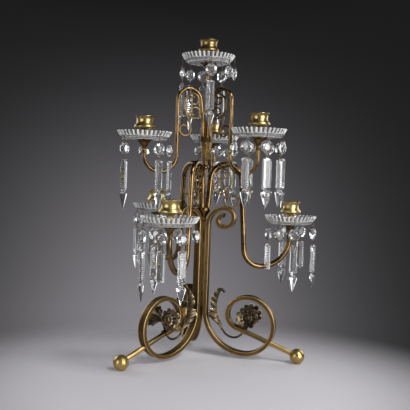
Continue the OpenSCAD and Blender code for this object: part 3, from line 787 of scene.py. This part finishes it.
octagonCrystal = makeOctagon(crystalDrop["octagon"])
wireLink = makeLink(crystalDrop["link"])
spears = {kind: makeSpear(crystalDrop["spear"], kind) for kind in (whole, broken)}
octagonCrystal.data.materials.append(finishes["dropGlass"])
wireLink.data.materials.append(finishes["pinBrass"])
for spear in spears.values():
    spear.data.materials.append(finishes["dropGlass"])
    spear.data.materials.append(finishes["groundGlass"])
for group, turns in hookTurns.items():
    for n, (turn, kind) in enumerate(zip(turns, hookKinds[group]), 1):
        eye = (atPan(pans[group], hang["rise"]) @ turned(turn, (hang["out"], 0, 0))
               @ Matrix.Rotation(math.pi / 2, 4, "Z"))
        name = group + "_pendant_" + str(n)
        parts = [copyTo(octagonCrystal, name, eye)]
        if kind in spears:
            parts += [copyTo(wireLink, name, eye), copyTo(spears[kind], name, eye)]
        dressed(joined(parts, "drop_" + name), "dropGlass", name, "crystal", name)
for master in (octagonCrystal, wireLink, *spears.values()):
    bpy.data.objects.remove(master)
print("pendants made:", sum(len(t) for t in hookTurns.values()))


# leaves that rise from the rod seats against the stem
rodSeat = {"slope": 20.5, "run": 12, "bends": 5}
seatBend = pathEnd(legBar["start"], -90, legBar["scroll"][:rodSeat["bends"]])
seat = stepOn(*seatBend, (0, rodSeat["run"]))[0]
leafSpray = {"start": (-0.8, -3.25), "heading": 245, "thick": 1.2, "tendril": 3.4,
             "stalk": [(17.2, -65), (20, -45)], "tuck": [(20, -12)],
             "blade": [(20, -22), (0, 19), (60, -45), (4.2, -150)],
             "wide": [(0, 1.8), (0.1, 3), (0.2, 6.5), (0.28, 12), (0.34, 17.5), (0.42, 16.5), (0.465, 13),
                      (0.5, 6.5), (0.54, 11), (0.6, 12.6), (0.7, 11), (0.8, 8), (0.88, 5.5), (0.93, 3.8),
                      (1, 1.6)],
             "lobes": 9, "notch": 0.26, "notched": (0.04, 0.8), "tipNotch": 0.2, "sweep": 0.4,
             "rib": 0.8, "ribWide": 1.2, "vein": 0.55, "veinLean": 0.3, "veinHighlight": 0.7,
             "ribHighlight": 0.05, "edgeHighlight": 0.93,
             "aside": (0.72, -0.17), "back": (0.5, 0.33), "long": 108, "across": 24}


def alongStops(stops, t):  # value between listed stops
    for (a, u), (b, w) in zip(stops, stops[1:]):
        if t <= b:
            return u + (w - u) * (t - a) / (b - a)
    return stops[-1][1]


def makeLeaf(v):
    start = (seat[0] + v["start"][0], seat[1] + v["start"][1])
    stalk = sweep("leafStalk", {"round": v["tendril"], "sides": 14}, start, v["heading"],
                  v["stalk"] + v["tuck"])
    place, heading = pathEnd(start, v["heading"], v["stalk"])
    lengths = [leg[1] if leg[0] == 0 else leg[0] * abs(math.radians(leg[1])) for leg in v["blade"]]
    total = sum(lengths)

    def spine(s):  # point and heading at length s along the blade
        p, h = place, heading
        for leg, length in zip(v["blade"], lengths):
            if s <= length + 1e-9:
                part = (leg[0], leg[1] * s / length)
                return stepOn(p, h, part)
            p, h = stepOn(p, h, leg)
            s -= length
        return p, h

    pickNone()
    bpy.ops.mesh.primitive_grid_add(x_subdivisions=v["across"], y_subdivisions=v["long"], size=2)
    blade = bpy.context.object
    marks = []
    for point in blade.data.vertices:
        side, t = point.co.x, (point.co.y + 1) / 2
        far = abs(side)
        phase = t * v["lobes"] % 1.0
        low, high = v["notched"]
        tooth = v["notch"] * phase ** 2 * (1 if low < t < high else v["tipNotch"])
        half = alongStops(v["wide"], t) * (1 - tooth * far)
        (x, z), h = spine(min(1.0, t + v["sweep"] * half * far / total) * total)
        vein = math.cos((t * v["lobes"] - v["veinLean"] * far) * 2 * math.pi)
        rib = math.exp(-(side * half / v["ribWide"]) ** 2)
        lift = (v["rib"] * rib + v["vein"] * vein * min(1.0, 2 * far)
                - half * (v["back"][0] * far + v["back"][1] * far * far))
        aside = half * (v["aside"][0] * far + v["aside"][1] * far * far)
        out = math.radians(h - 90)
        point.co = ((x + lift * math.cos(out)) * mm, math.copysign(aside, side) * mm,
                    (z + lift * math.sin(out)) * mm)
        # painted highlight: pale marks on the rim, the midrib and the ridges of the veins
        rubbedAndLit = far > v["edgeHighlight"] or far < v["ribHighlight"]
        marks.append(1.0 if rubbedAndLit else v["veinHighlight"] * max(0.0, vein) ** 3)
    wear = blade.data.attributes.new("wear", "FLOAT", "POINT")
    wear.data.foreach_set("value", marks)
    blade.data.update()
    wall = blade.modifiers.new("wall", "SOLIDIFY")
    wall.thickness = v["thick"] * mm
    wall.offset = 0
    bpy.ops.object.modifier_apply(modifier="wall")
    bpy.ops.object.mode_set(mode="EDIT")
    closeEdit("leafBlade", 50)
    return joined([stalk, blade], "leafSpray")


leafSprays = repeated(makeLeaf(leafSpray), "leafSprays", [turned(t) for t in legTurns])
dressed(leafSprays, "leafBrass", "stand", "brown_brass", "leaf_sprays")
print("leaves made")


# pairs of trumpet flowers on the rod seats
flowerPair = {"stalk": 19, "stalkWide": 6, "lift": 14, "seat": 2, "knob": 4.6,
              "petals": 10, "scallop": 0.26, "groove": 1.5,
              "throat": 6.2, "petal": 12.6, "tipHighlight": 18.2, "rootHighlight": 12.4, "rootShine": 0.75,
              "dim": 0.1,
              "outside": [(0, 0.05), (3, 0.2), (5.4, 4), (8.4, 10), (12.6, 15), (16.4, 17.2),
                          (18.8, 18.2)],
              "inside": [(18.6, 19.0), (16, 18.3), (12.2, 16.4), (8.4, 12.6), (6.2, 12.2)],
              "heart": [(5.6, 13.6), (4.6, 15.2), (2.6, 16.2), (0, 16.6)]}


def makeFlower(v):
    line = smoothLine(v["outside"], 3) + smoothLine(v["inside"], 3) + smoothLine(v["heart"], 2)
    flower = lathe("flowerHead", line, v["petals"] * 8, 50)
    wear = flower.data.attributes.new("wear", "FLOAT", "POINT")
    for point in flower.data.vertices:
        r = math.hypot(point.co.x, point.co.y) / mm
        if r < v["throat"]:
            continue
        turn = math.atan2(point.co.y, point.co.x) * v["petals"] / 2
        valley = 1 - math.sqrt(abs(math.cos(turn)))
        t = (r - v["throat"]) / v["petal"]
        shrunk(point, 1 - v["scallop"] * valley * t ** 3)
        point.co.z -= v["groove"] * valley * t * mm
        # painted highlight: pale petal rims and pale crests in the throat
        wornAndLit = v["dim"]
        if r > v["tipHighlight"]:
            wornAndLit = 1.0
        elif r < v["rootHighlight"]:
            wornAndLit = v["rootShine"] * (1 - valley)
        wear.data[point.index].value = wornAndLit
    return flower


def makeFlowers(v):
    stalk = sweep("flowerStalk", {"round": v["stalkWide"], "sides": 20}, (0, 0), 90, [(0, v["stalk"])])
    knob = ball("flowerKnob", v["knob"], (0, 0, v["stalk"]), 20)
    head = makeFlower(v)
    heads = [copyTo(head, "flowerHead", Matrix.Translation((0, 0, v["stalk"] * mm))
                    @ Matrix.Rotation(math.radians(side * (90 - v["lift"])), 4, "X")
                    @ Matrix.Translation((0, 0, v["seat"] * mm))) for side in (-1, 1)]
    bpy.data.objects.remove(head)
    pair = joined([stalk, knob] + heads, "flowerPair")
    lean = math.radians(rodSeat["slope"])
    half = legBar["section"]["flat"][0] / 2
    top = (seat[0] + half * math.sin(lean), seat[1] + half * math.cos(lean))
    pair.data.transform(Matrix.Translation((top[0] * mm, 0, top[1] * mm))
                        @ Matrix.Rotation(lean, 4, "Y"))
    return pair


flowerPairs = repeated(makeFlowers(flowerPair), "flowerPairs", [turned(t) for t in legTurns])
dressed(flowerPairs, "leafBrass", "stand", "brown_brass", "flower_pairs")
print("flowers made")


# CAD nodes that keep their shape
keptNodes = {"foot_rods": "footBrass", "ball_feet": "footBrass", "stem_core": "shadeBrass",
             "arm_socket": "castBrass", "centre_rod": "armBrass", "pendant_hooks": "wireBrass"}
for name, finish in keptNodes.items():
    if not nodes[name].material_slots:
        nodes[name].data.materials.append(finishes[finish])
    for entry in nodes[name].material_slots:
        entry.material = finishes[finish]
print("CAD nodes dressed:", len(keptNodes))


# floor, backdrop and light
studio = {"floor": 1.6, "sunk": 0.0002, "matt": 0.8, "pale": (0.57, 0.555, 0.592),
          "centre": (0, -0.2), "fade": (0.16, 0.5), "fill": 0.12, "room": 0.012,
          "violet": (1.04, 1.0, 1.07), "pool": (-0.058, 0.215), "behind": (0.3, 0.7),
          "below": (0.05, 0.35),
          "sky": [(0.0, 0.25), (0.405, 0.23), (0.4535, 0.165), (0.5025, 0.098), (0.5305, 0.06),
                  (0.558, 0.033), (0.585, 0.018), (0.62, 0.009), (1.0, 0.007)],
          "aim": (0, 0, 0.25),
          "lamps": [("keyLamp", (1.1, -1.15, 0.42), 1.0, 22.0),  # place and size in metres, watts
                    ("fillLamp", (-1.1, -1.1, 0.5), 0.9, 7.0),
                    ("topLamp", (0.8, -0.75, 1.5), 0.4, 13.5),
                    ("rimLampLeft", (-1.1, 0.9, 0.6), 0.9, 6.0),
                    ("rimLampRight", (1.1, 0.9, 0.6), 0.9, 6.5)]}


def makeFloor(v):
    pickNone()
    bpy.ops.mesh.primitive_plane_add(size=2 * v["floor"], location=(0, 0, -v["sunk"]))
    floor = bpy.context.object
    floor.name = "studioFloor"
    material, shader, place = newFinish("floorPaper")
    shader.inputs["Roughness"].default_value = v["matt"]
    shader.inputs["Base Color"].default_value = colour(v["pale"])
    x, y, z = place.axes()
    dx = x - v["centre"][0]
    dy = y - v["centre"][1]
    away = (dx * dx + dy * dy) ** 0.5
    clear = place.add("ShaderNodeBsdfTransparent")
    mix = place.add("ShaderNodeMixShader", None,
                    {0: away.between(*v["fade"]), 1: Signal(place.tree, shader.outputs[0]), 2: clear})
    place.tree.links.new(mix.socket, place.tree.nodes["Material Output"].inputs["Surface"])
    floor.data.materials.append(material)


def makeSky(v):
    world = bpy.data.worlds.new("studioAir")
    bpy.context.scene.world = world
    world.use_nodes = True
    tree = world.node_tree
    start = Signal(tree)
    across, deep, up = start.add("ShaderNodeTexCoord", out=0).axes()
    level = up * 0.5 + 0.5
    tint = [(place, [tone * c for c in v["violet"]]) for place, tone in v["sky"]]
    tone = level.add("ShaderNodeValToRGB", {"stops": tint}, {0: level})
    middle, spread = v["pool"]
    aside = (across - middle) * (1 / spread)
    behind = deep.between(*v["behind"])  # a pool of light behind the piece, a soft glow below elsewhere
    pool = behind * (math.e ** (aside * aside * -1.0))
    pool = pool + (1 - behind) * (up * -1.0).between(*v["below"])
    tone = pool.mixed(colour([v["room"]] * 3), tone)
    rays = start.add("ShaderNodeLightPath").socket.node.outputs
    seen = [Signal(tree, rays["Is " + kind + " Ray"]) for kind in ("Camera", "Glossy", "Transmission")]
    shown = start.maths("MINIMUM", seen[0] + seen[1] + seen[2], 1.0)
    plain = start.add("ShaderNodeBackground", None,
                      {"Color": (1, 1, 1, 1), "Strength": v["fill"]})
    back = start.add("ShaderNodeBackground", None, {"Color": tone, "Strength": 1.0})
    mix = start.add("ShaderNodeMixShader", None, {0: shown, 1: plain, 2: back})
    tree.links.new(mix.socket, tree.nodes["World Output"].inputs["Surface"])


def makeLamps(v):
    for name, place, size, power in v["lamps"]:
        data = bpy.data.lights.new(name, "AREA")
        data.shape = "SQUARE"
        data.size = size
        data.energy = power
        lamp = bpy.data.objects.new(name, data)
        lamp.location = place
        aim = Vector(v["aim"]) - lamp.location
        lamp.rotation_euler = aim.to_track_quat("-Z", "Y").to_euler()
        bpy.context.scene.collection.objects.link(lamp)


makeFloor(studio)
makeSky(studio)
makeLamps(studio)
bpy.context.scene.view_settings.view_transform = "Standard"
print("studio made")
